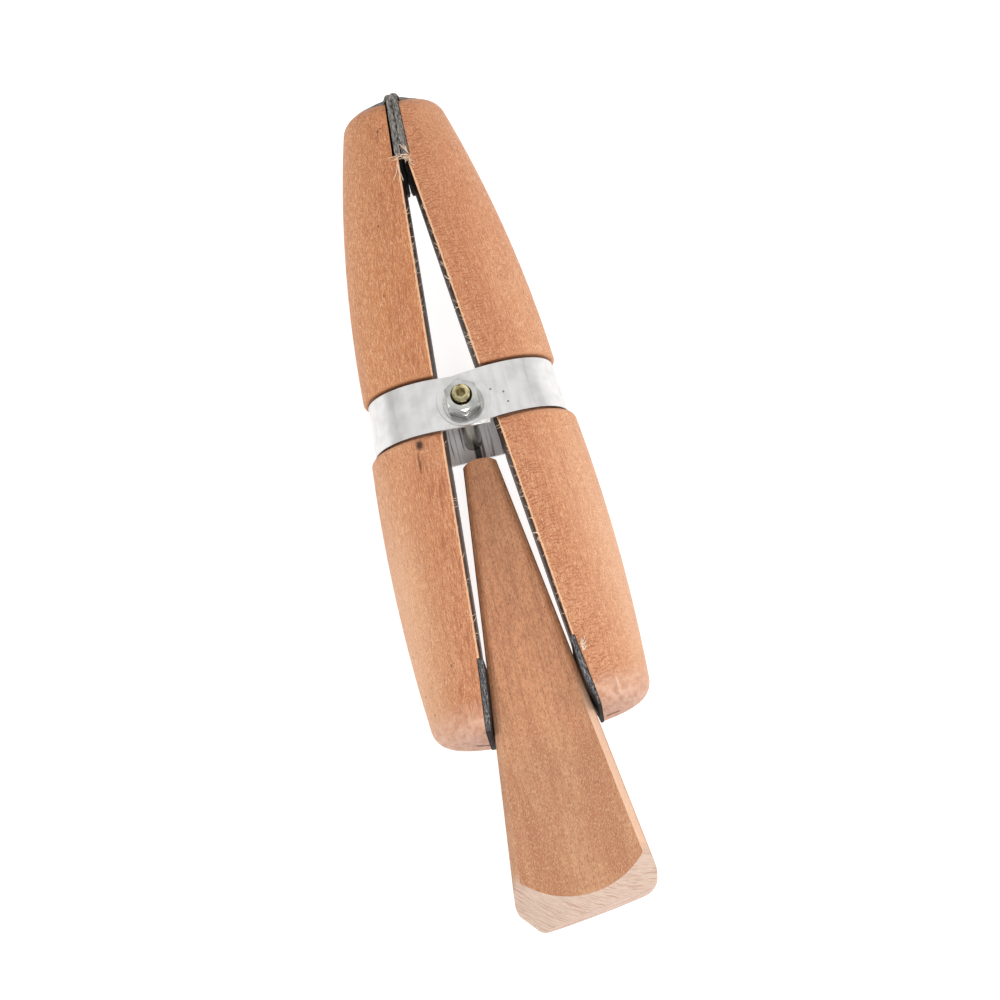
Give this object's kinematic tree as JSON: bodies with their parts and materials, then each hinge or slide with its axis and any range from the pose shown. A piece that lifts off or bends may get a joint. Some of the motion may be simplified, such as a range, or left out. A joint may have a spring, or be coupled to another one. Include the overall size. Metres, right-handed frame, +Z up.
{
  "type": "leather stitching hand clamp",
  "caption": "Hand-held stitching clamp: two turned wooden half-round jaws, leather-faced, held by a metal strap and closed by a hardwood wedge driven between the lower ends.",
  "frame": {"origin": "under the middle of the overall bounding box, on the surface it lies on when resting on its back", "axes": "+Z up, out of the face that carries the two clamp nuts; +Y from the wedge towards the gripping jaw tips; +X across the split, to the right seen from the nut side"},
  "size_m": [0.0516, 0.1948, 0.0472],
  "materials": {
    "jaw_wood": "satin, sanded, unvarnished",
    "wedge_wood": "satin, sanded, unvarnished",
    "pad_leather": "matte with fibrous grey cut edges",
    "strap_steel": "bright satin",
    "nut_steel": "bright zinc plated",
    "screw_brass": "yellow zinc plated, semi-gloss"
  },
  "bodies": {
    "strap": {"strap_band": "strap_steel", "clamp_screw": "screw_brass", "front_washer": "strap_steel", "front_nut": "nut_steel", "front_jam_nut": "nut_steel", "rear_washer": "strap_steel", "rear_nut": "nut_steel"},
    "left_jaw": {"jaw_half_left": "jaw_wood", "upper_pad_left": "pad_leather", "lower_pad_left": "pad_leather"},
    "right_jaw": {"jaw_half_right": "jaw_wood", "upper_pad_right": "pad_leather", "lower_pad_right": "pad_leather"},
    "wedge": {"wedge": "wedge_wood"}
  },
  "joints": [
    {"name": "wedge_slide", "type": "slide", "parent": "strap", "child": "wedge", "axis": [0, -1, 0], "range_m": [0, 0.052]},
    {"name": "left_half_rock", "type": "hinge", "parent": "strap", "child": "left_jaw", "pos_m": [-0.01392, 0.02111, 0.0209], "axis": [0, 0, 1], "range_deg": [0, 4.8]},
    {"name": "right_half_rock", "type": "hinge", "parent": "strap", "child": "right_jaw", "pos_m": [0.01392, 0.02111, 0.0209], "axis": [0, 0, -1], "range_deg": [0, 4.8]}
  ],
  "couplings": [
    {"joint": "left_half_rock", "follows": "wedge_slide", "rad_per_m": 1.6},
    {"joint": "right_half_rock", "follows": "wedge_slide", "rad_per_m": 1.6}
  ]
}
